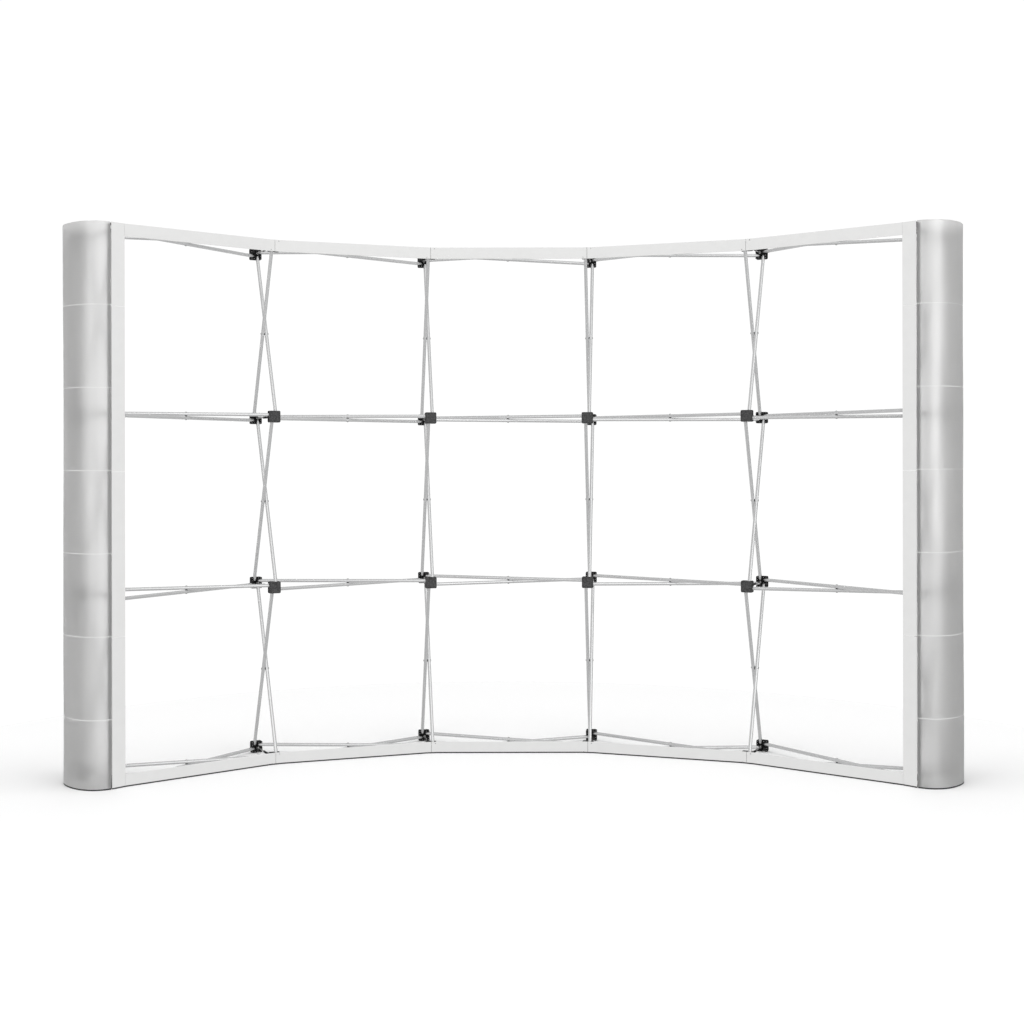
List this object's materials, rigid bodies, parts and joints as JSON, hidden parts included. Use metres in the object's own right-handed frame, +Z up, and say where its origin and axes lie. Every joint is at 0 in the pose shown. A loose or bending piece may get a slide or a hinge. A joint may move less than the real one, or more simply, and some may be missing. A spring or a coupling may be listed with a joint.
{
  "type": "pop up display backwall",
  "caption": "Curved free-standing folding lattice of aluminium tubes and plastic hubs, with locking arms, edge rails, end bars and half-round end panels.",
  "frame": {"origin": "on the floor, under the middle of the wall seen from above", "axes": "+X to the right along the wall, +Y from the hollow front towards the back, +Z up"},
  "size_m": [3.62, 0.9422, 2.231],
  "materials": {
    "lattice_metal": "satin aluminium tubes in black moulded hubs",
    "tube_metal": "satin drawn aluminium",
    "hub_plastic": "black moulded nylon",
    "arm_plastic": "black moulded nylon",
    "white_trim": "white satin",
    "panel_film": "translucent smoky film"
  },
  "bodies": {
    "frame": {"hub_chain_row1_a": "lattice_metal", "hub_chain_row1_b": "lattice_metal", "hub_chain_row2_a": "lattice_metal", "hub_chain_row2_b": "lattice_metal", "hub_chain_row3_a": "lattice_metal", "hub_chain_row3_b": "lattice_metal", "hub_chain_row4_a": "lattice_metal", "hub_chain_row4_b": "lattice_metal", "upright_tubes_c1_r1": "tube_metal", "upright_tubes_c1_r2": "tube_metal", "upright_tubes_c1_r3": "tube_metal", "upright_tubes_c2_r1": "tube_metal", "upright_tubes_c2_r2": "tube_metal", "upright_tubes_c2_r3": "tube_metal", "upright_tubes_c3_r1": "tube_metal", "upright_tubes_c3_r2": "tube_metal", "upright_tubes_c3_r3": "tube_metal", "upright_tubes_c4_r1": "tube_metal", "upright_tubes_c4_r2": "tube_metal", "upright_tubes_c4_r3": "tube_metal", "upright_tubes_c5_r1": "tube_metal", "upright_tubes_c5_r2": "tube_metal", "upright_tubes_c5_r3": "tube_metal", "upright_tubes_c6_r1": "tube_metal", "upright_tubes_c6_r2": "tube_metal", "upright_tubes_c6_r3": "tube_metal", "bottom_rail": "white_trim", "top_rail": "white_trim", "front_bar_left": "white_trim", "rear_bar_left": "white_trim", "end_panel_left": "panel_film", "front_bar_right": "white_trim", "rear_bar_right": "white_trim", "end_panel_right": "panel_film"},
    "arm_c1_r1": {"locking_arm_c1_r1": "arm_plastic"},
    "arm_c1_r2": {"locking_arm_c1_r2": "arm_plastic"},
    "arm_c1_r3": {"locking_arm_c1_r3": "arm_plastic"},
    "arm_c1_r4": {"locking_arm_c1_r4": "arm_plastic"},
    "arm_c2_r1": {"locking_arm_c2_r1": "arm_plastic"},
    "arm_c2_r2": {"locking_arm_c2_r2": "arm_plastic"},
    "arm_c2_r3": {"locking_arm_c2_r3": "arm_plastic"},
    "arm_c2_r4": {"locking_arm_c2_r4": "arm_plastic"},
    "arm_c3_r1": {"locking_arm_c3_r1": "arm_plastic"},
    "arm_c3_r2": {"locking_arm_c3_r2": "arm_plastic"},
    "arm_c3_r3": {"locking_arm_c3_r3": "arm_plastic"},
    "arm_c3_r4": {"locking_arm_c3_r4": "arm_plastic"},
    "arm_c4_r1": {"locking_arm_c4_r1": "arm_plastic"},
    "arm_c4_r2": {"locking_arm_c4_r2": "arm_plastic"},
    "arm_c4_r3": {"locking_arm_c4_r3": "arm_plastic"},
    "arm_c4_r4": {"locking_arm_c4_r4": "arm_plastic"},
    "arm_c5_r1": {"locking_arm_c5_r1": "arm_plastic"},
    "arm_c5_r2": {"locking_arm_c5_r2": "arm_plastic"},
    "arm_c5_r3": {"locking_arm_c5_r3": "arm_plastic"},
    "arm_c5_r4": {"locking_arm_c5_r4": "arm_plastic"},
    "arm_c6_r1": {"locking_arm_c6_r1": "arm_plastic"},
    "arm_c6_r2": {"locking_arm_c6_r2": "arm_plastic"},
    "arm_c6_r3": {"locking_arm_c6_r3": "arm_plastic"},
    "arm_c6_r4": {"locking_arm_c6_r4": "arm_plastic"}
  },
  "joints": [
    {"name": "lift_c1_r1", "type": "hinge", "parent": "frame", "child": "arm_c1_r1", "pos_m": [-1.72914, -0.25297, 0.025], "axis": [-0.7133, -0.7009, 0], "range_deg": [0, 50]},
    {"name": "lift_c1_r2", "type": "hinge", "parent": "frame", "child": "arm_c1_r2", "pos_m": [-1.72914, -0.25297, 0.752], "axis": [-0.7133, -0.7009, 0], "range_deg": [0, 50]},
    {"name": "lift_c1_r3", "type": "hinge", "parent": "frame", "child": "arm_c1_r3", "pos_m": [-1.72914, -0.25297, 1.479], "axis": [-0.7133, -0.7009, 0], "range_deg": [0, 50]},
    {"name": "lift_c1_r4", "type": "hinge", "parent": "frame", "child": "arm_c1_r4", "pos_m": [-1.72914, -0.25297, 2.206], "axis": [-0.7133, -0.7009, 0], "range_deg": [0, 50]},
    {"name": "lift_c2_r1", "type": "hinge", "parent": "frame", "child": "arm_c2_r1", "pos_m": [-1.10847, 0.19139, 0.025], "axis": [-0.8934, -0.4493, 0], "range_deg": [0, 50]},
    {"name": "lift_c2_r2", "type": "hinge", "parent": "frame", "child": "arm_c2_r2", "pos_m": [-1.10847, 0.19139, 0.752], "axis": [-0.8934, -0.4493, 0], "range_deg": [0, 50]},
    {"name": "lift_c2_r3", "type": "hinge", "parent": "frame", "child": "arm_c2_r3", "pos_m": [-1.10847, 0.19139, 1.479], "axis": [-0.8934, -0.4493, 0], "range_deg": [0, 50]},
    {"name": "lift_c2_r4", "type": "hinge", "parent": "frame", "child": "arm_c2_r4", "pos_m": [-1.10847, 0.19139, 2.206], "axis": [-0.8934, -0.4493, 0], "range_deg": [0, 50]},
    {"name": "lift_c3_r1", "type": "hinge", "parent": "frame", "child": "arm_c3_r1", "pos_m": [-0.38167, 0.42474, 0.025], "axis": [-0.988, -0.1547, 0], "range_deg": [0, 50]},
    {"name": "lift_c3_r2", "type": "hinge", "parent": "frame", "child": "arm_c3_r2", "pos_m": [-0.38167, 0.42474, 0.752], "axis": [-0.988, -0.1547, 0], "range_deg": [0, 50]},
    {"name": "lift_c3_r3", "type": "hinge", "parent": "frame", "child": "arm_c3_r3", "pos_m": [-0.38167, 0.42474, 1.479], "axis": [-0.988, -0.1547, 0], "range_deg": [0, 50]},
    {"name": "lift_c3_r4", "type": "hinge", "parent": "frame", "child": "arm_c3_r4", "pos_m": [-0.38167, 0.42474, 2.206], "axis": [-0.988, -0.1547, 0], "range_deg": [0, 50]},
    {"name": "lift_c4_r1", "type": "hinge", "parent": "frame", "child": "arm_c4_r1", "pos_m": [0.38167, 0.42474, 0.025], "axis": [-0.988, 0.1547, 0], "range_deg": [0, 50]},
    {"name": "lift_c4_r2", "type": "hinge", "parent": "frame", "child": "arm_c4_r2", "pos_m": [0.38167, 0.42474, 0.752], "axis": [-0.988, 0.1547, 0], "range_deg": [0, 50]},
    {"name": "lift_c4_r3", "type": "hinge", "parent": "frame", "child": "arm_c4_r3", "pos_m": [0.38167, 0.42474, 1.479], "axis": [-0.988, 0.1547, 0], "range_deg": [0, 50]},
    {"name": "lift_c4_r4", "type": "hinge", "parent": "frame", "child": "arm_c4_r4", "pos_m": [0.38167, 0.42474, 2.206], "axis": [-0.988, 0.1547, 0], "range_deg": [0, 50]},
    {"name": "lift_c5_r1", "type": "hinge", "parent": "frame", "child": "arm_c5_r1", "pos_m": [1.10847, 0.19139, 0.025], "axis": [-0.8934, 0.4493, 0], "range_deg": [0, 50]},
    {"name": "lift_c5_r2", "type": "hinge", "parent": "frame", "child": "arm_c5_r2", "pos_m": [1.10847, 0.19139, 0.752], "axis": [-0.8934, 0.4493, 0], "range_deg": [0, 50]},
    {"name": "lift_c5_r3", "type": "hinge", "parent": "frame", "child": "arm_c5_r3", "pos_m": [1.10847, 0.19139, 1.479], "axis": [-0.8934, 0.4493, 0], "range_deg": [0, 50]},
    {"name": "lift_c5_r4", "type": "hinge", "parent": "frame", "child": "arm_c5_r4", "pos_m": [1.10847, 0.19139, 2.206], "axis": [-0.8934, 0.4493, 0], "range_deg": [0, 50]},
    {"name": "lift_c6_r1", "type": "hinge", "parent": "frame", "child": "arm_c6_r1", "pos_m": [1.72914, -0.25297, 0.025], "axis": [-0.7133, 0.7009, 0], "range_deg": [0, 50]},
    {"name": "lift_c6_r2", "type": "hinge", "parent": "frame", "child": "arm_c6_r2", "pos_m": [1.72914, -0.25297, 0.752], "axis": [-0.7133, 0.7009, 0], "range_deg": [0, 50]},
    {"name": "lift_c6_r3", "type": "hinge", "parent": "frame", "child": "arm_c6_r3", "pos_m": [1.72914, -0.25297, 1.479], "axis": [-0.7133, 0.7009, 0], "range_deg": [0, 50]},
    {"name": "lift_c6_r4", "type": "hinge", "parent": "frame", "child": "arm_c6_r4", "pos_m": [1.72914, -0.25297, 2.206], "axis": [-0.7133, 0.7009, 0], "range_deg": [0, 50]}
  ]
}
